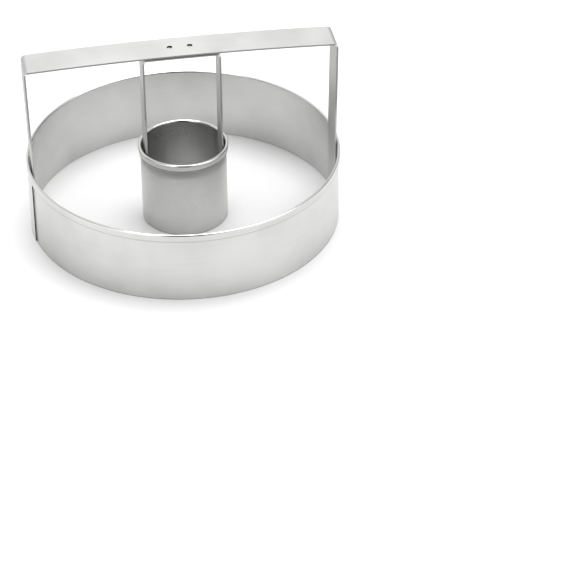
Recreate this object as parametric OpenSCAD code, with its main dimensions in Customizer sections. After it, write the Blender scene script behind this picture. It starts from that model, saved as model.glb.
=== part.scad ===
/* [Cutting ring] */
// Outer diameter of the ring's wall
ring_d = 80; // [60:1:120]
// Height of the ring
ring_h = 19.3; // [15:0.1:40]
// Thickness of the sheet that the ring and the inner cutter are rolled from
sheet_t = 0.4; // [0.3:0.05:0.6]
// Height of the hem that is folded out at the ring's rim
ring_hem_h = 2; // [1.4:0.1:4]
// Height of the bevel inside each cutting edge
edge_h = 0.6; // [0.3:0.1:1.2]
// Thickness left at each cutting edge
edge_t = 0.2; // [0.1:0.05:0.25]

/* [Seam of the ring] */
// Length along the wall over which the end of the sheet laps over its start
lap_w = 16; // [10:1:22]
// Step that the lapped end makes at the seam
lap_step = 0.35; // [0.2:0.05:0.6]
// Distance along the wall from the middle of the left leg to the seam
seam_offset = 6.4; // [5:0.2:10]

/* [Strap handle] */
// Height of the handle's top over the table
handle_h = 49.5; // [42:0.5:90]
// Rise of the handle's top from its corners to its middle
crown = 0.9; // [0.4:0.1:3]
// Width of the handle's strap
strap_w = 9.4; // [7:0.2:12]
// Thickness of the strips that the handle and the bracket are bent from
strap_t = 0.45; // [0.4:0.05:1.2]
// Inside radius of the bends
bend_r = 0.95; // [0.8:0.05:3]
// Radius of the corners at the ends of the legs
foot_r = 1.5; // [0.5:0.1:3]
// Height at which the legs end over the table
foot_z = 2; // [1:0.5:6]
// How far each leg of the handle leans out between the ring's rim and its bend
leg_splay = 0.5; // [0.1:0.1:2]

/* [Bracket] */
// Width of the bracket's strip
bracket_w = 7.2; // [5:0.2:9]
// Gap that the plug welds hold between the handle's underside and the top of the bracket
strap_gap = 0.75; // [0.02:0.01:1.2]

/* [Inner cutter] */
// Outer diameter of the inner cutter's wall
cup_d = 22.2; // [18:0.2:32]
// Height of the inner cutter
cup_h = 21.3; // [16:0.1:38]
// Height of the hem that is rolled out at the inner cutter's rim
cup_hem_h = 1.9; // [1.4:0.1:4]
// How far the rolled hem stands out from the wall at its fullest
cup_roll = 0.6; // [0.6:0.05:1.2]

/* [Plug holes] */
// Diameter of the two holes through the handle and the bracket
hole_d = 1.4; // [1:0.1:2.4]
// Distance between the two holes
hole_pitch = 5.1; // [3:0.1:8]
// Depth of the hollow that is left over each plug
plug_dip = 0.35; // [0.1:0.05:0.4]

/* [Welds] */
// Diameter of a spot weld
spot_d = 3; // [2:0.2:5]
// Distance between the two spot welds on a leg
spot_pitch = 7; // [5.4:0.2:9]
// Width of a tack along the edge of the strip
tack_w = 1.2; // [0.8:0.1:2]
// Length of a tack
tack_l = 5; // [3:0.5:9]

/* [Clearances] */
// Gap between the edges of a leg and the wall that it stands against
leg_gap = 0.1; // [0.05:0.05:0.5]
// Gap that keeps a weld clear of a curved face
weld_gap = 0.02; // [0.01:0.01:0.05]

/* [Hidden] */
$fn = 192;

// Steps along the crown and round each bend
crown_steps = 32;
bend_steps = 10;
// Radius of a hem's lower lip as a share of the sheet's thickness
lip_share = 0.6;
// How far a cutting shape runs past what it cuts
over = 1;

ring_r = ring_d / 2;
cup_r = cup_d / 2;
corner_r = bend_r + strap_t;

// The outer faces of the legs, where the strip's edges just clear the curved wall
ring_leg_x = sqrt(pow(ring_r - sheet_t - leg_gap, 2) - pow(strap_w / 2, 2));
cup_leg_x = sqrt(pow(cup_r - sheet_t - leg_gap, 2) - pow(bracket_w / 2, 2));

// Angle at which the handle's legs lean out above the rim
leg_lean = atan(leg_splay / (handle_h - crown - corner_r - ring_h));

// Radius and centre height of the crown, from its rise over the span between the bends
crown_half = ring_leg_x + leg_splay - corner_r / cos(leg_lean);
crown_r = (pow(crown_half, 2) + pow(crown, 2)) / (2 * crown) + corner_r;
crown_z = handle_h - crown_r;

// The lap's outer face is a circle off the ring's centre, level with the wall where the lap
// begins and one step out at the seam
seam_r = ring_r + lap_step;
lap_a = lap_w / ring_r * 180 / PI;
seam_a = 180 + seam_offset / ring_r * 180 / PI;
lap_shift = (pow(seam_r, 2) - pow(ring_r, 2)) / (2 * (seam_r - ring_r * cos(lap_a)));
lap_r = seam_r - lap_shift;

// A rolled wall with its hem: the wall's outer radius, its height, the hem's height and how
// far the fold at the rim stands out
module hemmed_wall(outer_r, height, hem, fold) {
    inner_r = outer_r - sheet_t;
    fold_r = (sheet_t + fold) / 2;
    lip_r = lip_share * sheet_t;
    hem_z = height - hem;
    rotate_extrude() {
        // Wall with the bevel inside its cutting edge
        polygon([
            [outer_r - edge_t, 0],
            [outer_r, 0],
            [outer_r, height - fold_r],
            [inner_r, height - fold_r],
            [inner_r, edge_h],
        ]);
        // Side of the hem, which leans in to the wall
        polygon([
            [outer_r - sheet_t / 2, hem_z],
            [outer_r + sheet_t, hem_z],
            [outer_r + fold, height - fold_r],
            [outer_r - sheet_t / 2, height - fold_r],
        ]);
        // Round fold at the rim
        translate([inner_r + fold_r, height - fold_r])
            circle(r = fold_r);
        // Round lower lip of the hem, pressed in against the wall
        translate([outer_r + sheet_t - lip_r, hem_z])
            circle(r = lip_r);
    }
}

// The end of the sheet where it lies over its start, from the seam back past the left leg
module sheet_lap() {
    rotate([0, 0, seam_a])
        difference() {
            intersection() {
                translate([lap_shift, 0, 0])
                    cylinder(r = lap_r, h = ring_h - ring_hem_h);
                translate([0, -seam_r, 0])
                    cube([seam_r + over, seam_r, ring_h]);
            }
            translate([0, 0, -over])
                cylinder(r = ring_r - sheet_t / 2, h = ring_h + 2 * over);
        }
}

// One face of a strip bent to an arch, from foot to foot over the crown, at a depth under its
// outer face. The bends are centred at bend_x, and the legs lean out above the knee.
function arch_face(bend_x, arch_r, lean, knee_z, depth) =
    let (
        bend_z = crown_z + sqrt(pow(arch_r - corner_r, 2) - pow(bend_x, 2)),
        half_crown = asin(bend_x / (arch_r - corner_r)),
        sweep = 90 + lean - half_crown,
        leg_x = bend_x + corner_r / cos(lean) - (bend_z - knee_z) * tan(lean) - depth,
        turn_r = corner_r - depth,
        top_r = arch_r - depth
    )
    concat(
        [[-leg_x, foot_z], [-leg_x, knee_z + depth * tan(lean / 2)]],
        [
            for (i = [0:bend_steps])
                let (a = 180 + lean - sweep * i / bend_steps)
                [-bend_x + turn_r * cos(a), bend_z + turn_r * sin(a)]
        ],
        [
            for (i = [1:crown_steps - 1])
                let (a = 90 + half_crown * (1 - 2 * i / crown_steps))
                [top_r * cos(a), crown_z + top_r * sin(a)]
        ],
        [
            for (i = [0:bend_steps])
                let (a = 90 - half_crown - sweep * i / bend_steps)
                [bend_x + turn_r * cos(a), bend_z + turn_r * sin(a)]
        ],
        [[leg_x, knee_z + depth * tan(lean / 2)], [leg_x, foot_z]]
    );

function reversed(points) = [for (i = [len(points) - 1:-1:0]) points[i]];

// End view of a strip with the corners of its foot rounded
module strip_end_view(width) {
    side = width / 2 - foot_r;
    translate([-width / 2, foot_z + foot_r])
        square([width, handle_h]);
    translate([-side, foot_z])
        square([2 * side, 2 * foot_r]);
    for (s = [-1, 1])
        translate([s * side, foot_z + foot_r])
            circle(r = foot_r);
}

// A strip of one width all along, bent to an arch, with the two plug holes through its top
module strip_arch(width, bend_x, arch_r, lean, knee_z) {
    difference() {
        intersection() {
            rotate([90, 0, 0])
                linear_extrude(height = width, center = true)
                    polygon(concat(
                        arch_face(bend_x, arch_r, lean, knee_z, 0),
                        reversed(arch_face(bend_x, arch_r, lean, knee_z, strap_t))
                    ));
            rotate([90, 0, 90])
                linear_extrude(height = 2 * (bend_x + corner_r + over), center = true)
                    strip_end_view(width);
        }
        for (s = [-1, 1])
            translate([s * hole_pitch / 2, 0, crown_z + arch_r - 2 * strap_t])
                cylinder(d = hole_d, h = 2 * strap_t + over);
    }
}

module cutting_ring() {
    color("gainsboro") {
        hemmed_wall(ring_r, ring_h, ring_hem_h, sheet_t);
        sheet_lap();
    }
}

// The handle's legs stand upright against the wall and lean out from the rim up
module handle_strap() {
    color("lightgray")
        strip_arch(strap_w, crown_half, crown_r, leg_lean, ring_h);
}

// The bracket follows the underside of the handle's crown, and its legs are upright
module inner_bracket() {
    color("silver")
        strip_arch(bracket_w, cup_leg_x - corner_r, crown_r - strap_t - strap_gap, 0, cup_h);
}

module inner_cutter() {
    color("darkgray")
        hemmed_wall(cup_r, cup_h, cup_hem_h, cup_roll);
}

// Weld metal in the holes and across the gap between the strips, from the bracket's underside
// to the hollow in the handle's top
module plug_welds() {
    bottom = handle_h - 2 * strap_t - strap_gap;
    color("dimgray")
        for (s = [-1, 1])
            translate([s * hole_pitch / 2, 0, bottom])
                cylinder(d = hole_d - 2 * weld_gap, h = handle_h - plug_dip - bottom);
}

// Two spots behind each leg of the handle, against the ring's wall
module ring_spot_welds() {
    wall_x = sqrt(pow(ring_r - sheet_t - weld_gap, 2) - pow(spot_d / 2, 2));
    color("gray")
        for (turn = [0, 180], s = [-1, 1])
            rotate([0, 0, turn])
                translate([ring_leg_x, 0, ring_h / 2 + s * spot_pitch / 2])
                    rotate([0, 90, 0])
                        cylinder(d = spot_d, h = wall_x - ring_leg_x);
}

// A tack in each corner between a leg of the bracket and the inner cutter's wall
module cutter_tack_welds() {
    color("gray")
        for (turn = [0, 180], s = [-1, 1])
            rotate([0, 0, turn])
                translate([0, 0, (cup_h - tack_l) / 2])
                    intersection() {
                        cylinder(r = cup_r - sheet_t - weld_gap, h = tack_l);
                        translate([cup_leg_x, s * (bracket_w - tack_w) / 2 - tack_w / 2, 0])
                            cube([cup_r, tack_w, tack_l]);
                    }
}

cutting_ring();
handle_strap();
inner_bracket();
inner_cutter();
plug_welds();
ring_spot_welds();
cutter_tack_welds();
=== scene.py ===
import math

import bmesh
import bpy
from mathutils import Matrix, Vector


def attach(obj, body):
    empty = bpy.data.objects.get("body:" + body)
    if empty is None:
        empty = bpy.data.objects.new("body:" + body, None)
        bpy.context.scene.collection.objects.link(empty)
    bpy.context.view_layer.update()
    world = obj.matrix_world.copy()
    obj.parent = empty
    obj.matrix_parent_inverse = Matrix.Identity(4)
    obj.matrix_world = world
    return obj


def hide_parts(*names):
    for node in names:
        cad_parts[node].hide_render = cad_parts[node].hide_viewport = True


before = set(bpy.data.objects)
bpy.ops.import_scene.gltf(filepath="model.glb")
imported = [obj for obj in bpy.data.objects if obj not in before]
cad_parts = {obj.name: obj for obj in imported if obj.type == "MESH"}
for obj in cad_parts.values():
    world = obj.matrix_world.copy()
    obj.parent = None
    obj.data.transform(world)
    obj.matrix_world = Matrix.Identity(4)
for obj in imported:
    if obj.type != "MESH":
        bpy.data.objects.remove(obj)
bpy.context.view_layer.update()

# Cutting ring: one strip of satin stainless steel sheet, 0.4 mm thick, rolled to a hoop.
# Its rim is folded outwards and pressed flat into a hem, and its lower edge is thinned from
# the inside so that it cuts.
MM = 0.001
SHEET_T = 0.4
RING_R = 40.0
RING_H = 19.3
RING_HEM_H = 2.0
RING_PINCH = 0.02
RING_STEPS = 384
EDGE_H = 0.6
EDGE_T = 0.2


def node_tree(tree, kinds):
    """Adds one node of each kind, named by its key, and returns them by that key."""
    return {key: tree.nodes.new(kind) for key, kind in kinds.items()}


def new_group(name, inputs, outputs):
    """A shader node group with named inputs and outputs, and its two end nodes."""
    group = bpy.data.node_groups.new(name, "ShaderNodeTree")
    for label, kind, value in inputs:
        socket = group.interface.new_socket(name=label, in_out="INPUT", socket_type=kind)
        if value is not None:
            socket.default_value = value
    for label in outputs:
        group.interface.new_socket(name=label, in_out="OUTPUT", socket_type="NodeSocketFloat")
    ends = node_tree(group, {"in": "NodeGroupInput", "out": "NodeGroupOutput"})
    return group, ends["in"].outputs, ends["out"].inputs


def placed(tree, group, vector, **values):
    """A group put into a tree, reading the vector and the values given for its inputs."""
    node = tree.nodes.new("ShaderNodeGroup")
    node.node_tree = group
    tree.links.new(vector, node.inputs["Vector"])
    for label, value in values.items():
        node.inputs[label.replace("_", " ")].default_value = value
    return node.outputs


def sums(tree, operation, *terms):
    """A math node over sockets and numbers."""
    node = tree.nodes.new("ShaderNodeMath")
    node.operation = operation
    for slot, term in zip(node.inputs, terms):
        if isinstance(term, (int, float)):
            slot.default_value = term
        else:
            tree.links.new(term, slot)
    return node.outputs["Value"]


def rising(tree, value, low, high, to_low=0.0, to_high=1.0):
    """A smooth step from to_low to to_high as the value goes from low to high."""
    node = tree.nodes.new("ShaderNodeMapRange")
    node.interpolation_type = "SMOOTHSTEP"
    for label, end in (("From Min", low), ("From Max", high), ("To Min", to_low),
                       ("To Max", to_high)):
        if isinstance(end, (int, float)):
            node.inputs[label].default_value = end
        else:
            tree.links.new(end, node.inputs[label])
    tree.links.new(value, node.inputs["Value"])
    return node.outputs["Result"]


def reaching(tree, value, ends):
    """A mask that goes from black to white between two places, given in millimetres."""
    return rising(tree, value, ends[0] * MM, ends[1] * MM)


def axes_of(tree, vector):
    """The three parts of a vector."""
    node = tree.nodes.new("ShaderNodeSeparateXYZ")
    tree.links.new(vector, node.inputs["Vector"])
    return node.outputs


def noise(tree, vector, scale, detail=2.0, roughness=0.5):
    """Noise over a vector, between 0 and 1."""
    node = tree.nodes.new("ShaderNodeTexNoise")
    for label, value in (("Scale", scale), ("Detail", detail), ("Roughness", roughness)):
        if isinstance(value, (int, float)):
            node.inputs[label].default_value = value
        else:
            tree.links.new(value, node.inputs[label])
    tree.links.new(vector, node.inputs["Vector"])
    return node.outputs["Fac"]


def ragged(tree, vector, scale, least, spread, detail=3.0):
    """A distance that wanders from least by up to spread millimetres, for a worn edge."""
    return sums(tree, "MULTIPLY_ADD", noise(tree, vector, scale, detail), spread * MM,
                least * MM)


def stretched(tree, vector, scale, turn=(0.0, 0.0, 0.0)):
    """A vector turned and then stretched, for a pattern that runs one way."""
    node = tree.nodes.new("ShaderNodeMapping")
    node.vector_type = "TEXTURE"
    node.inputs["Rotation"].default_value = turn
    tree.links.new(vector, node.inputs["Vector"])
    grow = tree.nodes.new("ShaderNodeVectorMath")
    grow.operation = "MULTIPLY"
    tree.links.new(node.outputs["Vector"], grow.inputs[0])
    if isinstance(scale, tuple):
        grow.inputs[1].default_value = scale
    else:
        tree.links.new(scale, grow.inputs[1])
    return grow.outputs["Vector"]


HOOP_GRAIN = (60.0, 60.0, 9000.0)
PATCH_SCALE = 70.0


def rolled_grain():
    """Fine lines left by the rolls, along the strip, with broad soft patches beneath them."""
    group, inputs, outputs = new_group(
        "rolled_grain",
        [("Vector", "NodeSocketVector", None),
         ("Line Scale", "NodeSocketVector", HOOP_GRAIN),
         ("Patch Scale", "NodeSocketFloat", PATCH_SCALE)],
        ["Lines", "Patches"])
    along = stretched(group, inputs["Vector"], inputs["Line Scale"])
    lines = noise(group, along, scale=1.0, detail=3.0, roughness=0.6)
    group.links.new(lines, outputs["Lines"])
    group.links.new(noise(group, inputs["Vector"], inputs["Patch Scale"]), outputs["Patches"])
    return group


# How each run of scratches is turned, and how finely it is drawn out along its three axes
SCRATCH_RUNS = (
    ((0.3, 0.5, 0.4), (90.0, 2600.0, 2600.0)),
    ((1.2, 0.2, 2.0), (120.0, 3200.0, 3200.0)),
    ((0.1, 1.0, 1.1), (70.0, 2200.0, 2200.0)),
)
SCRATCH_RISE = (0.70, 0.76)
WORN_SCALE = 160.0
WORN_RISE = (0.42, 0.62)


def fine_scratches():
    """Sparse hair scratches from use and washing, in three directions."""
    group, inputs, outputs = new_group(
        "fine_scratches", [("Vector", "NodeSocketVector", None)], ["Scratches"])
    worst = None
    for turn, scale in SCRATCH_RUNS:
        threads = noise(group, stretched(group, inputs["Vector"], scale, turn), scale=1.0,
                        detail=1.0)
        thread = rising(group, threads, *SCRATCH_RISE)
        worst = thread if worst is None else sums(group, "MAXIMUM", worst, thread)
    worn = noise(group, inputs["Vector"], WORN_SCALE, detail=3.0)
    where = rising(group, worn, *WORN_RISE)
    group.links.new(sums(group, "MULTIPLY", worst, where), outputs["Scratches"])
    return group


GRAIN = rolled_grain()
SCRATCHES = fine_scratches()
# How much the lines count against the patches, how far tone and gloss go with both, and the
# height of each in the bump
LINE_SHARE = 0.5
TONE_SPREAD = 0.07
TONE_RISE = (0.5, 1.0)
GLOSS_RISE = (0.45, 1.05)
GLOSS_SHARES = (0.88, 1.15)
SCRATCH_GLOSS = 0.08
LINE_DEPTH = 0.0012
PATCH_DEPTH = 0.02
SCRATCH_DEPTH = 0.004


def steel(name, colour, roughness, line_scale):
    """Satin rolled steel: its grain follows the strip, with soft patches and hair scratches.

    Gives the material, the socket of the Object coordinates and a function that lays
    another colour and gloss over a mask."""
    material = bpy.data.materials.new(name)
    material.use_nodes = True
    tree = material.node_tree
    shader = tree.nodes["Principled BSDF"]
    shader.inputs["Metallic"].default_value = 1.0
    vector = tree.nodes.new("ShaderNodeTexCoord").outputs["Object"]
    grain = placed(tree, GRAIN, vector, Line_Scale=line_scale)
    scratches = placed(tree, SCRATCHES, vector)["Scratches"]
    tone = tree.nodes.new("ShaderNodeMix")
    tone.data_type = "RGBA"
    tone.inputs["A"].default_value = (*[part * (1 - TONE_SPREAD) for part in colour], 1)
    tone.inputs["B"].default_value = (*[part * (1 + TONE_SPREAD) for part in colour], 1)
    spread = sums(tree, "MULTIPLY_ADD", grain["Lines"], LINE_SHARE, grain["Patches"])
    tree.links.new(rising(tree, spread, *TONE_RISE), tone.inputs["Factor"])
    tree.links.new(tone.outputs["Result"], shader.inputs["Base Color"])
    gloss = rising(tree, spread, *GLOSS_RISE, *[roughness * share for share in GLOSS_SHARES])
    tree.links.new(sums(tree, "MULTIPLY_ADD", scratches, -SCRATCH_GLOSS, gloss),
                   shader.inputs["Roughness"])
    height = sums(tree, "MULTIPLY", grain["Patches"], PATCH_DEPTH)
    height = sums(tree, "MULTIPLY_ADD", grain["Lines"], LINE_DEPTH, height)
    height = sums(tree, "MULTIPLY_ADD", scratches, -SCRATCH_DEPTH, height)
    bump = tree.nodes.new("ShaderNodeBump")
    bump.inputs["Distance"].default_value = MM
    tree.links.new(height, bump.inputs["Height"])
    tree.links.new(bump.outputs["Normal"], shader.inputs["Normal"])

    def lay_over(mask, colour=None, roughness=None, strength=1.0):
        """Mixes another colour and another gloss in where the mask is white."""
        if strength < 1:
            mask = sums(tree, "MULTIPLY", mask, strength)
        for label, value, kind in (("Base Color", colour and (*colour, 1), "RGBA"),
                                   ("Roughness", roughness, "FLOAT")):
            if value is None:
                continue
            mix = tree.nodes.new("ShaderNodeMix")
            mix.data_type = kind
            tree.links.new(shader.inputs[label].links[0].from_socket, mix.inputs["A"])
            mix.inputs["B"].default_value = value
            tree.links.new(mask, mix.inputs["Factor"])
            tree.links.new(mix.outputs["Result"], shader.inputs[label])

    return material, vector, lay_over


def distance_from(tree, vector, place):
    """Distance of a point from an upright line through the place."""
    across = tree.nodes.new("ShaderNodeVectorMath")
    across.operation = "MULTIPLY_ADD"
    tree.links.new(vector, across.inputs[0])
    across.inputs[1].default_value = (1, 1, 0)
    across.inputs[2].default_value = (-place[0], -place[1], 0)
    length = tree.nodes.new("ShaderNodeVectorMath")
    length.operation = "LENGTH"
    tree.links.new(across.outputs["Vector"], length.inputs[0])
    return length.outputs["Value"]


# Where the painted marks on a hem begin and are full: the painted highlight on the fold under
# the rim, the painted shade under the lip round the hem's foot, the outer face, and the
# painted shade in the crease in from the inner face and under the rim
FOLD_REACH = (0.45, 0.20)
LIP_REACH = (0.32, 0.16)
OUTER_FACE = (-0.25, -0.15)
CREASE_REACH = (0.13, 0.03)
CREASE_DROP = (0.5, 0.4)


def hem_highlight_and_shade():
    """Painted highlight on the burnished fold at a rim, painted shade in the crease inside it
    and under the lip at the hem's foot.
    """
    group, inputs, outputs = new_group(
        "hem_highlight_and_shade",
        [("Vector", "NodeSocketVector", None), ("Rim Height", "NodeSocketFloat", RING_H * MM),
         ("Hem Height", "NodeSocketFloat", RING_HEM_H * MM),
         ("Outer Radius", "NodeSocketFloat", RING_R * MM)],
        ["Fold", "Crease Shade", "Lip Shade"])
    height = axes_of(group, inputs["Vector"])["Z"]
    under_rim = sums(group, "SUBTRACT", inputs["Rim Height"], height)
    group.links.new(reaching(group, under_rim, FOLD_REACH), outputs["Fold"])
    from_lip = sums(group, "ABSOLUTE", sums(group, "SUBTRACT", under_rim, inputs["Hem Height"]))
    radius = distance_from(group, inputs["Vector"], (0, 0))
    proud = sums(group, "SUBTRACT", radius, inputs["Outer Radius"])
    outside = reaching(group, proud, OUTER_FACE)
    lip = reaching(group, from_lip, LIP_REACH)
    group.links.new(sums(group, "MULTIPLY", lip, outside), outputs["Lip Shade"])
    inside = reaching(group, proud, [reach - SHEET_T for reach in CREASE_REACH])
    at_rim = reaching(group, under_rim, CREASE_DROP)
    group.links.new(sums(group, "MULTIPLY", inside, at_rim), outputs["Crease Shade"])
    return group


# How deep in from the outer face the bevel begins, and how softly it ends at its top
BEVEL_FACE = (0.03, 0.08)
GROUND_BLUR = 0.04


def ground_edge_and_foot_shade():
    """The bevel ground inside a cutting edge, and painted shade up the foot of the wall outside
    it, to a ragged height.
    """
    group, inputs, outputs = new_group(
        "ground_edge_and_foot_shade",
        [("Vector", "NodeSocketVector", None),
         ("Outer Radius", "NodeSocketFloat", RING_R * MM)],
        ["Ground", "Foot Shade"])
    height = axes_of(group, inputs["Vector"])["Z"]
    radius = distance_from(group, inputs["Vector"], (0, 0))
    depth = sums(group, "SUBTRACT", inputs["Outer Radius"], radius)
    inside = reaching(group, depth, BEVEL_FACE)
    ground = reaching(group, height, (EDGE_H + GROUND_BLUR, EDGE_H - GROUND_BLUR))
    group.links.new(sums(group, "MULTIPLY", inside, ground), outputs["Ground"])
    reach = ragged(group, inputs["Vector"], scale=500.0, least=0.05, spread=0.5)
    foot_shade = rising(group, height, reach, 0.0)
    outside = sums(group, "SUBTRACT", 1.0, inside)
    group.links.new(sums(group, "MULTIPLY", outside, foot_shade), outputs["Foot Shade"])
    return group


HEM_HIGHLIGHT_AND_SHADE = hem_highlight_and_shade()
GROUND_EDGE_AND_FOOT_SHADE = ground_edge_and_foot_shade()
# Brighter colour of burnished and ground metal, which is also a painted highlight along a rim's
# fold
BURNISH_AND_HIGHLIGHT_COLOUR = (0.66, 0.66, 0.654)
FOLD_ROUGHNESS = 0.09
# Painted shade, for the crease inside a rim, under a hem's lip and along a wall's foot
PAINTED_SHADE_COLOUR = (0.20, 0.20, 0.195)


def hemmed_steel(name, colour, roughness, outer_r, height, hem, lip_shade):
    """Steel of a rolled wall: painted highlight on the burnished fold, painted shade in the
    crease, under the lip and along the foot, and a ground bevel.
    """
    material, vector, lay_over = steel(name, colour, roughness, HOOP_GRAIN)
    tree = material.node_tree
    hem_light = placed(tree, HEM_HIGHLIGHT_AND_SHADE, vector, Rim_Height=height * MM, Hem_Height=hem * MM,
                  Outer_Radius=outer_r * MM)
    edges = placed(tree, GROUND_EDGE_AND_FOOT_SHADE, vector, Outer_Radius=outer_r * MM)
    # Painted highlight on the rim's fold, and painted shade in the crease and under the hem's
    # lip
    lay_over(hem_light["Fold"], BURNISH_AND_HIGHLIGHT_COLOUR, FOLD_ROUGHNESS)
    lay_over(hem_light["Crease Shade"], PAINTED_SHADE_COLOUR, roughness=0.3, strength=0.35)
    lay_over(hem_light["Lip Shade"], PAINTED_SHADE_COLOUR, strength=lip_shade)
    lay_over(edges["Ground"], BURNISH_AND_HIGHLIGHT_COLOUR, roughness=0.24)
    # Painted shade along the foot of the wall
    lay_over(edges["Foot Shade"], PAINTED_SHADE_COLOUR, roughness=0.5, strength=0.7)
    return material, vector, lay_over


FOLD_SEGMENTS = 8
# Points closer than this are one: in an outline, and in a finished mesh
MERGE = 0.002
FINE_MERGE = 0.0005
# Edges that turn by more degrees than this stay sharp in the shading
SHARP_ANGLE = 35


def outline(bm, corners):
    """A flat outline of (radius, height, rounding) corners, its corners rounded."""
    verts = [bm.verts.new((x * MM, 0, z * MM)) for x, z, _ in corners]
    bm.faces.new(verts)
    for vert, (_, _, rounding) in zip(verts, corners):
        if rounding:
            bmesh.ops.bevel(bm, geom=[vert], affect="VERTICES", offset=rounding * MM,
                            segments=FOLD_SEGMENTS, profile=0.5, material=-1)
    bmesh.ops.delete(bm, geom=bm.faces[:], context="FACES_ONLY")


def rolled_wall(corners, steps):
    """The outline turned once round the middle of the cutter."""
    bm = bmesh.new()
    outline(bm, corners)
    bmesh.ops.remove_doubles(bm, verts=bm.verts, dist=MERGE * MM)
    bmesh.ops.spin(bm, geom=bm.verts[:] + bm.edges[:], cent=(0, 0, 0), axis=(0, 0, 1),
                   angle=math.tau, steps=steps, use_merge=True)
    return bm


HEM_GAP = 0.04
LIP_R = 0.16
LIP_BACK_R = LIP_R * 0.7
FOLD_SLACK = 0.001
# Where the wall starts to draw in under the hem, where it is all in, and how softly
PINCH_FROM = 1.9
PINCH_FROM_R = 0.9
PINCH_TO = 0.5
PINCH_TO_R = 0.4


def hemmed_outline(outer_r, height, hem, fold, pinch):
    """Corners of a wall whose rim is folded out into a hem, pressed in a little under it."""
    inner_r = outer_r - SHEET_T
    fold_r = (SHEET_T + fold) / 2 - FOLD_SLACK
    lip_x = outer_r + SHEET_T
    return [
        (outer_r - EDGE_T, 0, 0),
        (outer_r, 0, 0),
        (outer_r, height - hem - PINCH_FROM, PINCH_FROM_R),
        (outer_r - pinch, height - hem - PINCH_TO, PINCH_TO_R),
        (outer_r - pinch, height - hem + LIP_R, 0),
        (outer_r + HEM_GAP, height - hem + LIP_R, 0),
        (outer_r + HEM_GAP, height - hem - LIP_R, LIP_BACK_R),
        (lip_x, height - hem - LIP_R, LIP_R),
        (outer_r + fold, height, fold_r),
        (inner_r, height, fold_r),
        (inner_r, EDGE_H, 0),
    ]


def keep_flats_flat(piece):
    """Shades the large faces flat and lets only the rounded edges bend the light."""
    piece.modifiers.new("face_weighted", "WEIGHTED_NORMAL").keep_sharp = True


def finished(bm, name, material, node=None, sharp=SHARP_ANGLE):
    """Closes the mesh, turns its faces outwards and hands the piece to the frame."""
    bmesh.ops.remove_doubles(bm, verts=bm.verts, dist=FINE_MERGE * MM)
    bmesh.ops.recalc_face_normals(bm, faces=bm.faces)
    for face in bm.faces:
        face.smooth = True
    mesh = bpy.data.meshes.new(name)
    bm.to_mesh(mesh)
    bm.free()
    mesh.set_sharp_from_angle(angle=math.radians(sharp))
    mesh.materials.append(material)
    piece = bpy.data.objects.new(name, mesh)
    bpy.context.scene.collection.objects.link(piece)
    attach(piece, "root")
    if node:
        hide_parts(node)
    keep_flats_flat(piece)
    return piece


RING_COLOUR = (0.59, 0.59, 0.582)
RING_ROUGHNESS = 0.36
RING_LIP_SHADE = 0.3
RING_STEEL, RING_VECTOR, lay_over_ring = hemmed_steel(
    "ring_steel", RING_COLOUR, RING_ROUGHNESS, RING_R, RING_H, RING_HEM_H, RING_LIP_SHADE)
ring_outline = hemmed_outline(RING_R, RING_H, RING_HEM_H, SHEET_T, RING_PINCH)
finished(rolled_wall(ring_outline, RING_STEPS), "cutting_ring_sheet", RING_STEEL,
         "cutting_ring")

# Lapped end of the ring's strip: the last 16 mm of the same sheet, lying over its start
# beside the left leg and spot welded there. Its raw edge is the seam that shows.
LAP_W = 16.0
LAP_STEP = 0.35
LAP_EDGE_R = 0.06
LAP_TOP_GAP = 0.25
LAP_SINK = 0.03
LAP_STEPS = 28
SEAM_OFFSET = 6.4

lap_angle = LAP_W / RING_R
seam_angle = math.pi + SEAM_OFFSET / RING_R
seam_r = RING_R + LAP_STEP
far_r = RING_R - LAP_SINK
lap_shift = (seam_r ** 2 - far_r ** 2) / (2 * (seam_r - far_r * math.cos(lap_angle)))
lap_top = RING_H - RING_HEM_H - LAP_TOP_GAP
bm = bmesh.new()
outline(bm, [
    (RING_R - SHEET_T / 2, 0, 0),
    (seam_r, 0, LAP_EDGE_R),
    (seam_r, lap_top, LAP_EDGE_R),
    (RING_R - SHEET_T / 2, lap_top, 0),
])
bmesh.ops.contextual_create(bm, geom=bm.edges[:])
far_angle = math.atan2(far_r * math.sin(lap_angle), far_r * math.cos(lap_angle) - lap_shift)
bmesh.ops.spin(bm, geom=bm.faces[:] + bm.edges[:] + bm.verts[:],
               cent=(lap_shift * MM, 0, 0), axis=(0, 0, 1), angle=-far_angle,
               steps=LAP_STEPS)
bmesh.ops.rotate(bm, verts=bm.verts, cent=(0, 0, 0),
                 matrix=Matrix.Rotation(seam_angle, 3, "Z"))

# Where the seam's painted marks begin and are full: on the left half of the ring, beside the
# cut, out from the wall, down from the hem's foot, and on the painted glints beside the cut
SEAM_SIDE = (-20, -21)
SEAM_SHADE_REACH = (0.05, 0.02)
SEAM_SHADE_PROUD = (0.01, 0.03)
UNDER_HEM = (0, 0.3)
SEAM_GLINT_FULL = 0.1


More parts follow.
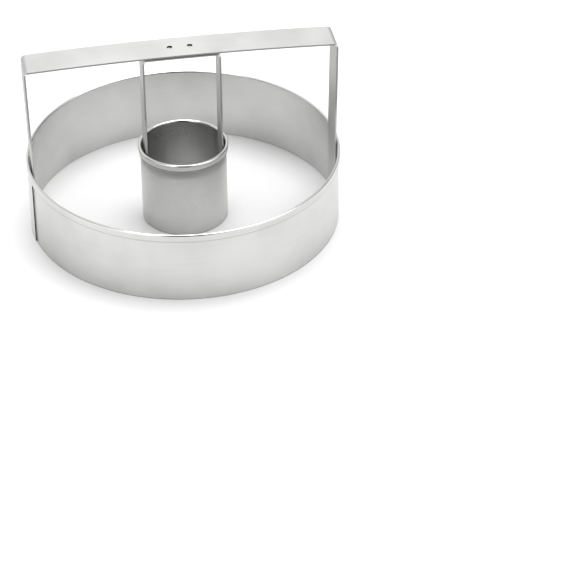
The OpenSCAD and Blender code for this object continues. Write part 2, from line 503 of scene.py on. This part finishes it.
def seam_shade_and_glint():
    """Painted shade on the cut end of the sheet at the seam, and a narrow painted glint on each
    side of it.
    """
    group, inputs, outputs = new_group(
        "seam_shade_and_glint", [("Vector", "NodeSocketVector", None)], ["Raw", "Seam Glint"])
    beyond = group.nodes.new("ShaderNodeVectorMath")
    beyond.operation = "DOT_PRODUCT"
    group.links.new(inputs["Vector"], beyond.inputs[0])
    beyond.inputs[1].default_value = (-math.sin(seam_angle), math.cos(seam_angle), 0)
    level = sums(group, "ABSOLUTE", beyond.outputs["Value"])
    axes = axes_of(group, inputs["Vector"])
    side = reaching(group, axes["X"], SEAM_SIDE)
    radius = distance_from(group, inputs["Vector"], (0, 0))
    proud = reaching(group, radius, [RING_R + reach for reach in SEAM_SHADE_PROUD])
    below = reaching(group, axes["Z"], [RING_H - RING_HEM_H - drop for drop in UNDER_HEM])
    at_seam = sums(group, "MULTIPLY", side, below)
    seam_shade = sums(group, "MULTIPLY", reaching(group, level, SEAM_SHADE_REACH), proud)
    group.links.new(sums(group, "MULTIPLY", seam_shade, at_seam), outputs["Raw"])
    reach = ragged(group, inputs["Vector"], scale=400.0, least=0.3, spread=0.3, detail=2.0)
    seam_glint = rising(group, level, reach, SEAM_GLINT_FULL * MM)
    group.links.new(sums(group, "MULTIPLY", seam_glint, at_seam), outputs["Seam Glint"])
    return group


# Painted glint beside the seam's cut, and painted shade on its cut end
SEAM_GLINT_COLOUR = (0.9, 0.9, 0.89)
SEAM_SHADE_COLOUR = (0.07, 0.07, 0.068)
seam = placed(RING_STEEL.node_tree, seam_shade_and_glint(), RING_VECTOR)
lay_over_ring(seam["Seam Glint"], SEAM_GLINT_COLOUR, roughness=0.3, strength=0.8)
lay_over_ring(seam["Raw"], SEAM_SHADE_COLOUR, roughness=0.6)
finished(bm, "ring_lap", RING_STEEL)

# Handle: one strip of spring-hard stainless steel, 9.4 mm wide and 0.45 mm thick, bent to a
# low arch. Its legs stand inside the ring and are spot welded to the wall, two spots a leg.
STRAP_W = 9.4
STRAP_T = 0.45
LEG_GAP = 0.1
BEND_R = 0.95
FOOT_R = 1.5
FOOT_Z = 2.0
HANDLE_H = 49.5
CROWN = 0.9
LEG_SPLAY = 0.5
STRAP_EDGE_R = 0.13
STRAP_EDGE_SEGMENTS = 4
FOOT_SEGMENTS = 8
CROWN_STEPS = 48
BEND_STEPS = 12
# Edges that turn by more than this are a strip's own long corners, not steps of its bends
LONG_CORNER = 60
# Points closer than this, in metres, are at the same height or place
LEVEL = 1e-6

corner_r = BEND_R + STRAP_T
ring_leg_x = math.sqrt((RING_R - SHEET_T - LEG_GAP) ** 2 - (STRAP_W / 2) ** 2)
leg_lean = math.atan(LEG_SPLAY / (HANDLE_H - CROWN - corner_r - RING_H))
crown_half = ring_leg_x + LEG_SPLAY - corner_r / math.cos(leg_lean)
crown_r = (crown_half ** 2 + CROWN ** 2) / (2 * CROWN) + corner_r
crown_z = HANDLE_H - crown_r


def bend_height(bend_x, arch_r):
    """Height of the centre of an arch's bends."""
    return crown_z + math.sqrt((arch_r - corner_r) ** 2 - bend_x ** 2)


def bent_strip(width, bend_x, arch_r, lean=0.0, knee_z=RING_H):
    """A strip bent up from its left foot, over the crown and down to its right foot."""
    bend_z = bend_height(bend_x, arch_r)
    half_crown = math.asin(bend_x / (arch_r - corner_r))
    leg_x = bend_x + corner_r / math.cos(lean) - (bend_z - knee_z) * math.tan(lean)
    leg_top = bend_z - corner_r * math.sin(lean) - knee_z
    bm = bmesh.new()
    foot = [bm.verts.new((x * MM, y * MM, FOOT_Z * MM)) for x, y in (
        (-leg_x, -width / 2), (-leg_x + STRAP_T, -width / 2),
        (-leg_x + STRAP_T, width / 2), (-leg_x, width / 2))]
    end = [bm.faces.new(foot)]

    def drawn_on(geom, way):
        """The end of the strip, drawn on in a straight line."""
        new = bmesh.ops.extrude_face_region(bm, geom=geom)["geom"]
        verts = [v for v in new if isinstance(v, bmesh.types.BMVert)]
        bmesh.ops.translate(bm, verts=verts, vec=Vector(way) * MM)
        return [f for f in new if isinstance(f, bmesh.types.BMFace)]

    def swung(geom, x, z, angle, steps):
        """The end of the strip, bent on round a line across it."""
        last = bmesh.ops.spin(bm, geom=geom, cent=(x * MM, 0, z * MM), axis=(0, 1, 0),
                              angle=angle, steps=steps)["geom_last"]
        return [f for f in last if isinstance(f, bmesh.types.BMFace)]

    def kinked(geom, angle):
        """The end of the strip, turned a little where the leg leaves the wall."""
        verts = {v for f in geom for v in f.verts}
        outer = max(verts, key=lambda v: abs(v.co.x)).co
        bmesh.ops.rotate(bm, verts=list(verts), cent=(outer.x, 0, outer.z),
                         matrix=Matrix.Rotation(angle, 3, "Y"))

    end = drawn_on(end, (0, 0, knee_z - FOOT_Z))
    kinked(end, -lean)
    end = drawn_on(end, (-leg_top * math.tan(lean), 0, leg_top))
    end = swung(end, -bend_x, bend_z, math.pi / 2 + lean - half_crown, BEND_STEPS)
    end = swung(end, 0, crown_z, 2 * half_crown, CROWN_STEPS)
    end = swung(end, bend_x, bend_z, math.pi / 2 + lean - half_crown, BEND_STEPS)
    end = drawn_on(end, (-leg_top * math.tan(lean), 0, -leg_top))
    kinked(end, -lean)
    drawn_on(end, (0, 0, FOOT_Z - knee_z))
    bmesh.ops.remove_doubles(bm, verts=bm.verts, dist=FINE_MERGE * MM)
    inside = [f for f in bm.faces if all(len(e.link_faces) > 2 for e in f.edges)]
    bmesh.ops.delete(bm, geom=inside, context="FACES_ONLY")
    bmesh.ops.recalc_face_normals(bm, faces=bm.faces)
    corners = [e for e in bm.edges
               if all(abs(v.co.z - FOOT_Z * MM) < LEVEL for v in e.verts)
               and abs(e.verts[0].co.y - e.verts[1].co.y) < LEVEL]
    bmesh.ops.bevel(bm, geom=corners, affect="EDGES", offset=FOOT_R * MM,
                    segments=FOOT_SEGMENTS, profile=0.5, material=-1)
    sides = [e for e in bm.edges if len(e.link_faces) == 2
             and e.calc_face_angle() > math.radians(LONG_CORNER)]
    bmesh.ops.bevel(bm, geom=sides, affect="EDGES", offset=STRAP_EDGE_R * MM,
                    segments=STRAP_EDGE_SEGMENTS, profile=0.5, material=-1)
    return bm


HOLE_D = 1.4
HOLE_PITCH = 5.1
HOLE_SIDES = 40
PUNCH_L = 4 * STRAP_T


def punched(piece, top_z):
    """The two holes through the middle of a strap, cut with a round punch."""
    bm = bmesh.new()
    for side in (-1, 1):
        place = Matrix.Translation((side * HOLE_PITCH / 2 * MM, 0, top_z * MM))
        bmesh.ops.create_cone(bm, cap_ends=True, segments=HOLE_SIDES,
                              radius1=HOLE_D / 2 * MM, radius2=HOLE_D / 2 * MM,
                              depth=PUNCH_L * MM, matrix=place)
    mesh = bpy.data.meshes.new("punch")
    bm.to_mesh(mesh)
    bm.free()
    punch = bpy.data.objects.new("punch", mesh)
    bpy.context.scene.collection.objects.link(punch)
    cut = piece.modifiers.new("holes", "BOOLEAN")
    cut.operation = "DIFFERENCE"
    cut.solver = "EXACT"
    cut.object = punch
    shape = bpy.context.evaluated_depsgraph_get()
    cut_mesh = bpy.data.meshes.new_from_object(piece.evaluated_get(shape))
    piece.modifiers.clear()
    piece.data = cut_mesh
    bpy.data.objects.remove(punch)
    bpy.data.meshes.remove(mesh)
    piece.data.set_sharp_from_angle(angle=math.radians(SHARP_ANGLE))
    keep_flats_flat(piece)


# How near its edge a strip is all torn, and the heights between which painted shade darkens it
SHEARED_FULL = 0.07
UPPER_SHADE_HEIGHTS = (26, 33)


def sheared_and_shaded_edges():
    """The cut edges of a strip: torn and uneven, and darkened high up by painted shade."""
    group, inputs, outputs = new_group(
        "sheared_and_shaded_edges",
        [("Vector", "NodeSocketVector", None),
         ("Half Width", "NodeSocketFloat", STRAP_W / 2 * MM)],
        ["Sheared", "Upper Shade"])
    axes = axes_of(group, inputs["Vector"])
    inset = sums(group, "SUBTRACT", inputs["Half Width"], sums(group, "ABSOLUTE", axes["Y"]))
    start = ragged(group, inputs["Vector"], scale=700.0, least=0.12, spread=0.12)
    group.links.new(rising(group, inset, start, SHEARED_FULL * MM), outputs["Sheared"])
    group.links.new(reaching(group, axes["Z"], UPPER_SHADE_HEIGHTS), outputs["Upper Shade"])
    return group


# How far out from the holes the painted shade reaches, and where the stain round them begins
HOLE_SHADE_REACH = 0.03
STAIN_LEAST = 0.1


def hole_shade_and_stain():
    """Painted shade on the walls of the two punched holes, and a faint stain round them."""
    group, inputs, outputs = new_group(
        "hole_shade_and_stain", [("Vector", "NodeSocketVector", None)], ["Burnt", "Stained"])
    nearest = sums(group, "MINIMUM", *[
        distance_from(group, inputs["Vector"], (side * HOLE_PITCH / 2 * MM, 0))
        for side in (-1, 1)])
    group.links.new(reaching(group, nearest, (HOLE_D / 2 + HOLE_SHADE_REACH, HOLE_D / 2)),
                    outputs["Burnt"])
    reach = ragged(group, inputs["Vector"], scale=1500.0, least=HOLE_D / 2 + STAIN_LEAST,
                   spread=0.9)
    group.links.new(rising(group, nearest, reach, HOLE_D / 2 * MM), outputs["Stained"])
    return group


# How far out and up from a bend's centre the rubbing begins and is full, how far the painted
# highlight on the edge reaches, and how deep in the strip its middle lies
RUBBED_OUT = (-0.4, 0.5)
RUBBED_UP = (-0.6, 0.4)
BEND_GLINT_REACH = (0.5, 0.25)
BEND_GLINT_SHARE = 0.4


def rubbed_and_glinting_bends():
    """The two bends: their outsides rubbed by the former, and a painted highlight on their
    edges.
    """
    group, inputs, outputs = new_group(
        "rubbed_and_glinting_bends",
        [("Vector", "NodeSocketVector", None),
         ("Bend X", "NodeSocketFloat", crown_half * MM),
         ("Bend Z", "NodeSocketFloat", bend_height(crown_half, crown_r) * MM)],
        ["Rubbed", "Bend Glint"])
    axes = axes_of(group, inputs["Vector"])
    out = sums(group, "SUBTRACT", sums(group, "ABSOLUTE", axes["X"]), inputs["Bend X"])
    up = sums(group, "SUBTRACT", axes["Z"], inputs["Bend Z"])
    both = sums(group, "MULTIPLY", reaching(group, out, RUBBED_OUT),
                reaching(group, up, RUBBED_UP))
    group.links.new(both, outputs["Rubbed"])
    middle = (BEND_R + STRAP_T * BEND_GLINT_SHARE) * math.sqrt(0.5) * MM
    spread = node_tree(group, {"xz": "ShaderNodeCombineXYZ", "far": "ShaderNodeVectorMath"})
    group.links.new(sums(group, "SUBTRACT", out, middle), spread["xz"].inputs["X"])
    group.links.new(sums(group, "SUBTRACT", up, middle), spread["xz"].inputs["Z"])
    spread["far"].operation = "LENGTH"
    group.links.new(spread["xz"].outputs["Vector"], spread["far"].inputs[0])
    group.links.new(reaching(group, spread["far"].outputs["Value"], BEND_GLINT_REACH),
                    outputs["Bend Glint"])
    return group


SHEARED_AND_SHADED_EDGES = sheared_and_shaded_edges()
HOLE_SHADE_AND_STAIN = hole_shade_and_stain()
RUBBED_AND_GLINTING_BENDS = rubbed_and_glinting_bends()
STRIP_GRAIN = (60.0, 9000.0, 60.0)
STRAP_COLOUR = (0.57, 0.57, 0.564)
STRAP_ROUGHNESS = 0.50
# The brushed strip mirrors less than clean steel where it is seen along its face
GRAZING_TINT = (0.70, 0.70, 0.70, 1)
SHEARED_COLOUR = (0.55, 0.55, 0.545)
# Painted highlight on the cut edges at the bends
BEND_GLINT_COLOUR = (0.70, 0.70, 0.69)
STAIN_COLOUR = (0.50, 0.48, 0.45)
# Painted shade for the walls of the punched holes
HOLE_SHADE_COLOUR = (0.045, 0.042, 0.04)


def strip_steel(name, width, bend_x, arch_r, upper_shade_colour):
    """Steel of a strip: dull sheared edges, with painted shade high up, a painted highlight at
    the bends and painted shade in the holes.
    """
    material, vector, lay_over = steel(name, STRAP_COLOUR, STRAP_ROUGHNESS, STRIP_GRAIN)
    tree = material.node_tree
    tree.nodes["Principled BSDF"].inputs["Specular Tint"].default_value = GRAZING_TINT
    bends = placed(tree, RUBBED_AND_GLINTING_BENDS, vector, Bend_X=bend_x * MM,
                   Bend_Z=bend_height(bend_x, arch_r) * MM)
    edges = placed(tree, SHEARED_AND_SHADED_EDGES, vector, Half_Width=width / 2 * MM)
    holes = placed(tree, HOLE_SHADE_AND_STAIN, vector)
    lay_over(bends["Rubbed"], BURNISH_AND_HIGHLIGHT_COLOUR, roughness=0.3, strength=0.3)
    lay_over(holes["Stained"], STAIN_COLOUR, strength=0.15)
    lay_over(edges["Sheared"], SHEARED_COLOUR, roughness=0.5)
    # Painted shade on the upper cut edges
    lay_over(sums(tree, "MULTIPLY", edges["Sheared"], edges["Upper Shade"]), upper_shade_colour)
    # Painted highlight on the cut edges at the bends
    lay_over(sums(tree, "MULTIPLY", edges["Sheared"], bends["Bend Glint"]), BEND_GLINT_COLOUR,
             roughness=0.3)
    # Painted shade on the walls of the holes
    lay_over(holes["Burnt"], HOLE_SHADE_COLOUR, roughness=0.6)
    return material


# Painted shade on the handle's upper cut edges
HANDLE_UPPER_SHADE = (0.27, 0.27, 0.265)
handle_steel = strip_steel("handle_steel", STRAP_W, crown_half, crown_r, HANDLE_UPPER_SHADE)
handle = finished(bent_strip(STRAP_W, crown_half, crown_r, leg_lean), "handle", handle_steel,
                  "handle_strap")
punched(handle, HANDLE_H)

# Bracket: a shorter arch of the same strip under the middle of the handle. Its legs hang
# down into the inner cutter and carry it.
CUP_R = 11.1
BRACKET_W = 7.2
STRAP_GAP = 0.75
# Painted shade on the bracket's upper cut edges, in the gap under the handle
BRACKET_UPPER_SHADE = (0.30, 0.30, 0.295)
cup_leg_x = math.sqrt((CUP_R - SHEET_T - LEG_GAP) ** 2 - (BRACKET_W / 2) ** 2)
bracket_x = cup_leg_x - corner_r
bracket_r = crown_r - STRAP_T - STRAP_GAP
bracket_steel = strip_steel("bracket_steel", BRACKET_W, bracket_x, bracket_r, BRACKET_UPPER_SHADE)
bracket = finished(bent_strip(BRACKET_W, bracket_x, bracket_r), "bracket", bracket_steel,
                   "inner_bracket")
punched(bracket, HANDLE_H - STRAP_T - STRAP_GAP)

# Inner cutter: a tube rolled from the same sheet as the ring. Its rim is rolled out into a
# fuller hem, and its lower edge is thinned like the ring's.
CUP_H = 21.3
CUP_HEM_H = 1.9
CUP_ROLL = 0.6
CUP_PINCH = 0.22
CUP_STEPS = 192
CUP_COLOUR = (0.54, 0.54, 0.532)
CUP_ROUGHNESS = 0.31
CUP_LIP_SHADE = 0.95
CUP_STEEL = hemmed_steel("cup_steel", CUP_COLOUR, CUP_ROUGHNESS, CUP_R, CUP_H, CUP_HEM_H,
                         CUP_LIP_SHADE)[0]
cup_outline = hemmed_outline(CUP_R, CUP_H, CUP_HEM_H, CUP_ROLL, CUP_PINCH)
finished(rolled_wall(cup_outline, CUP_STEPS), "cup", CUP_STEEL,
         "inner_cutter")

# Plug welds: molten metal set in the two holes and across the gap between the strips. Each
# is dished where it shrank, necked in the gap and domed a little under the bracket.
PLUG_DIP = 0.35
WELD_GAP = 0.02
PLUG_STEPS = 40
PLUG_SHARP = 50
# The dished top and the domed foot: shares of the plug's radius, and how far down they lie
PLUG_DISH = ((0.0, 0.12), (0.3, 0.11), (0.6, 0.09), (0.85, 0.06), (1.0, 0.05))
PLUG_DOME = ((0.85, 0.05), (0.5, 0.09), (0.0, 0.1))
# The neck: shares of the radius at its two ends and its middle, and where it begins and ends
NECK_END_SHARE = 0.9
NECK_SHARE = 0.86
NECK_INSET = 0.15
NECK_FOOT = 0.02
# Weld metal's straw tint and where it fades, and how its pits go with its gloss and height
HEAT_TINT = (0.88, 0.83, 0.76)
HEAT_RISE = (0.38, 0.62)
PIT_RISE = (0.3, 0.7)
PIT_GLOSS_SHARES = (0.8, 1.25)
PIT_DEPTH = 0.012


def weld_steel(name, colour, roughness):
    """Weld metal as it set: finely pitted, with straw and brown tints from the heat."""
    material = bpy.data.materials.new(name)
    material.use_nodes = True
    tree = material.node_tree
    shader = tree.nodes["Principled BSDF"]
    shader.inputs["Metallic"].default_value = 1.0
    vector = tree.nodes.new("ShaderNodeTexCoord").outputs["Object"]
    tint = tree.nodes.new("ShaderNodeValToRGB")
    tinted = [part * share for part, share in zip(colour, HEAT_TINT)]
    for element, place, shown in zip(tint.color_ramp.elements, HEAT_RISE, (tinted, colour)):
        element.position = place
        element.color = (*shown, 1)
    heat = noise(tree, vector, scale=900.0, detail=3.0)
    tree.links.new(heat, tint.inputs["Fac"])
    tree.links.new(tint.outputs["Color"], shader.inputs["Base Color"])
    pits = noise(tree, vector, scale=6000.0, detail=3.0, roughness=0.6)
    gloss = rising(tree, pits, *PIT_RISE, *[roughness * share for share in PIT_GLOSS_SHARES])
    tree.links.new(gloss, shader.inputs["Roughness"])
    bump = tree.nodes.new("ShaderNodeBump")
    bump.inputs["Distance"].default_value = MM
    tree.links.new(sums(tree, "MULTIPLY", pits, PIT_DEPTH), bump.inputs["Height"])
    tree.links.new(bump.outputs["Normal"], shader.inputs["Normal"])
    return material


plug_r = HOLE_D / 2 - WELD_GAP
plug_top = HANDLE_H - PLUG_DIP
gap_top = HANDLE_H - STRAP_T
gap_low = gap_top - STRAP_GAP
plug_low = gap_low - STRAP_T
plug_outline = [
    *[(share, plug_top - drop) for share, drop in PLUG_DISH],
    (1.0, gap_top),
    (NECK_END_SHARE, gap_top - NECK_INSET),
    (NECK_SHARE, (gap_top + gap_low) / 2),
    (NECK_END_SHARE, gap_low + NECK_INSET),
    (1.0, gap_low - NECK_FOOT),
    (1.0, plug_low),
    *[(share, plug_low - drop) for share, drop in PLUG_DOME],
]
bm = bmesh.new()
for side in (-1, 1):
    x = side * HOLE_PITCH / 2
    profile = [bm.verts.new(((x + share * plug_r) * MM, 0, z * MM))
               for share, z in plug_outline]
    lines = [bm.edges.new(pair) for pair in zip(profile, profile[1:])]
    bmesh.ops.spin(bm, geom=profile + lines, cent=(x * MM, 0, 0), axis=(0, 0, 1),
                   angle=math.tau, steps=PLUG_STEPS, use_merge=True)
PLUG_STEEL = weld_steel("plug_steel", (0.86, 0.86, 0.85), roughness=0.34)
finished(bm, "plugs", PLUG_STEEL, "plug_welds", sharp=PLUG_SHARP)

# Tack welds: four short beads that fix the edges of the bracket's legs to the wall of the
# inner cutter, laid in ripples from the foot up.
TACK_L = 5.0
TACK_INSET = 0.05
BEAD_R = 0.34
BEAD_SINK = BEAD_R * 0.6
BEAD_SIDES = 12
BEAD_RIPPLES = 7
RIPPLE_STEPS = 4
BEAD_SHARP = 60
# Shares of the bead's radius: at its ends, added by its swell and by each ripple
BEAD_FOOT_SHARE = 0.4
BEAD_THIN_SHARE = 0.45
BEAD_SWELL_SHARE = 0.45
BEAD_RIPPLE_SHARE = 0.1
# Stretch of a half wave that the swell follows from end to end
SWELL_SHARES = (0.12, 0.88)

WELD_STEEL = weld_steel("weld_steel", (0.45, 0.44, 0.43), roughness=0.45)
bead_steps = RIPPLE_STEPS * BEAD_RIPPLES
bead_y = BRACKET_W / 2 - TACK_INSET
bead_x = math.sqrt((CUP_R - SHEET_T - BEAD_SINK) ** 2 - bead_y ** 2)
bead_low = (CUP_H - TACK_L) / 2
bm = bmesh.new()
for side_x, side_y in ((-1, -1), (-1, 1), (1, -1), (1, 1)):
    foot = Matrix.Translation((side_x * bead_x * MM, side_y * bead_y * MM, bead_low * MM))
    start = bmesh.ops.create_circle(bm, cap_ends=True, segments=BEAD_SIDES,
                                    radius=BEAD_FOOT_SHARE * BEAD_R * MM, matrix=foot)["verts"]
    end = list({f for v in start for f in v.link_faces})
    grown = BEAD_FOOT_SHARE
    for step in range(bead_steps):
        share = step / (bead_steps - 1)
        wave = SWELL_SHARES[0] + share * (SWELL_SHARES[1] - SWELL_SHARES[0])
        wanted = (BEAD_THIN_SHARE + BEAD_SWELL_SHARE * math.sin(math.pi * wave)
                  + BEAD_RIPPLE_SHARE * math.cos(math.tau * step / RIPPLE_STEPS))
        new = bmesh.ops.extrude_face_region(bm, geom=end)["geom"]
        if step:
            bmesh.ops.delete(bm, geom=end, context="FACES_ONLY")
        verts = [v for v in new if isinstance(v, bmesh.types.BMVert)]
        end = [f for f in new if isinstance(f, bmesh.types.BMFace)]
        bmesh.ops.translate(bm, verts=verts, vec=(0, 0, TACK_L / bead_steps * MM))
        middle = sum((v.co for v in verts), Vector()) / len(verts)
        bmesh.ops.scale(bm, verts=verts, vec=(wanted / grown, wanted / grown, 1),
                        space=Matrix.Translation(-middle))
        grown = wanted
finished(bm, "tack_beads", WELD_STEEL, "cutter_tack_welds", sharp=BEAD_SHARP)

# Spot welds: four flat nuggets of fused metal between the handle's legs and the ring's wall,
# two behind each leg. They keep the shape that the frame gives them.
spots = bpy.data.objects["ring_spot_welds"]
for slot in spots.material_slots:
    slot.material = WELD_STEEL

# Table: a wide pale sheet with no grain, on which the cutter stands. It lies a hair under
# the cutting edges.
TABLE_HALF = 3.0
TABLE_GAP = 0.02
bm = bmesh.new()
bmesh.ops.create_grid(bm, x_segments=1, y_segments=1, size=TABLE_HALF)
mesh = bpy.data.meshes.new("table")
bm.to_mesh(mesh)
bm.free()
table_white = bpy.data.materials.new("table_white")
table_white.use_nodes = True
paint = table_white.node_tree.nodes["Principled BSDF"]
paint.inputs["Base Color"].default_value = (0.9, 0.9, 0.9, 1)
paint.inputs["Roughness"].default_value = 0.8
mesh.materials.append(table_white)
table = bpy.data.objects.new("table", mesh)
table.data.transform(Matrix.Translation((0, 0, -TABLE_GAP * MM)))
bpy.context.scene.collection.objects.link(table)

# Light: a white tent with a dark slot for the lens, and two soft lamps over it. The tent's
# brightness is given by degrees round the cutter from the lens, for foot, sides and roof.
TENT_FOOT = ((-180, 0.4), (-120, 0.9), (-70, 2.3), (-26, 1.4), (-12, 0.03), (12, 0.03),
             (26, 1.3), (70, 0.8), (120, 0.4), (180, 0.4))
TENT_SIDES = ((-180, 1.2), (-120, 0.9), (-70, 0.6), (-26, 2.4), (-12, 0.03), (12, 0.03),
              (26, 0.7), (70, 2.1), (120, 0.2), (180, 1.2))
TENT_ROOF = ((-180, 1.8), (-90, 0.65), (-30, 0.65), (-12, 0.03), (12, 0.03), (30, 0.75),
             (90, 0.9), (180, 1.8))
# Heights on a unit sphere where the roof takes over from the sides, and the foot does
ROOF_RISE = (0.75, 0.92)
FOOT_RISE = (0.32, 0.08)
# Degrees from the cutter's front round to the lens
LENS_SIDE = 7.2
# Name, place, size and power of each lamp
LAMPS = (
    ("overhead", (0.2, 0.3, 1.6), 1.2, 16.0),
    ("window", (1.2, 0.6, 1.3), 1.4, 1.5),
)
LIT_POINT = (0, 0, 0.02)

world = bpy.data.worlds.new("tent")
bpy.context.scene.world = world
world.use_nodes = True
tent = world.node_tree
tent.nodes["Background"].inputs["Color"].default_value = (1, 1, 1, 1)
way = axes_of(tent, tent.nodes.new("ShaderNodeTexCoord").outputs["Generated"])
compass = sums(tent, "ARCTAN2", way["X"], sums(tent, "MULTIPLY", way["Y"], -1.0))
compass = sums(tent, "ADD", compass, math.radians(LENS_SIDE))
compass = sums(tent, "WRAP", compass, math.pi, -math.pi)
round_share = sums(tent, "MULTIPLY_ADD", compass, 0.5 / math.pi, 0.5)
roof = rising(tent, way["Z"], *ROOF_RISE)
foot = rising(tent, way["Z"], *FOOT_RISE)
sides = sums(tent, "SUBTRACT", sums(tent, "SUBTRACT", 1.0, roof), foot)
glow = 0.0
for mask, stops in ((foot, TENT_FOOT), (sides, TENT_SIDES), (roof, TENT_ROOF)):
    ramp = tent.nodes.new("ShaderNodeValToRGB")
    tent.links.new(round_share, ramp.inputs["Fac"])
    for degrees, brightness in stops:
        place = degrees / 360 + 0.5
        if 0 < place < 1:
            element = ramp.color_ramp.elements.new(place)
        else:
            element = ramp.color_ramp.elements[0 if place == 0 else -1]
        element.color = (brightness, brightness, brightness, 1)
    glow = sums(tent, "MULTIPLY_ADD", ramp.outputs["Color"], mask, glow)
tent.links.new(glow, tent.nodes["Background"].inputs["Strength"])

for name, place, size, power in LAMPS:
    lamp = bpy.data.lights.new(name, "AREA")
    lamp.shape = "SQUARE"
    lamp.size = size
    lamp.energy = power
    hung = bpy.data.objects.new(name, lamp)
    bpy.context.scene.collection.objects.link(hung)
    toward = Vector(LIT_POINT) - Vector(place)
    hung.matrix_world = (Matrix.Translation(place)
                         @ toward.to_track_quat("-Z", "Y").to_matrix().to_4x4())

# Camera: where the photograph was taken from, fitted to the ring and the handle. Its place
# is in millimetres, and its three turns are in degrees.
CAMERA_PLACE = (-71.33, -565.62, 372.38)
CAMERA_PITCH = 34.886
CAMERA_ROLL = 0.519
CAMERA_YAW = 9.864
SENSOR = 36.0
FOCAL_PIXELS = 2600.0
FRAME_PIXELS = 576.0
CLIP_START = 0.01

lens = bpy.data.cameras.new("camera")
lens.sensor_width = SENSOR
lens.lens = FOCAL_PIXELS / FRAME_PIXELS * SENSOR
lens.clip_start = CLIP_START
camera = bpy.data.objects.new("camera", lens)
bpy.context.scene.collection.objects.link(camera)
pitch, roll = math.radians(CAMERA_PITCH), math.radians(CAMERA_ROLL)
ahead = Vector((0, math.cos(pitch), -math.sin(pitch)))
right = Vector((1, 0, 0))
down = ahead.cross(right)
image_right = math.cos(roll) * right + math.sin(roll) * down
image_down = -math.sin(roll) * right + math.cos(roll) * down
turn = Matrix.Rotation(-math.radians(CAMERA_YAW), 3, "Z")
axes = [turn @ image_right, turn @ -image_down, turn @ -ahead]
camera.matrix_world = (Matrix.Translation(Vector(CAMERA_PLACE) * MM)
                       @ Matrix(axes).transposed().to_4x4())
bpy.context.scene.camera = camera
bpy.context.scene.view_settings.view_transform = "Standard"
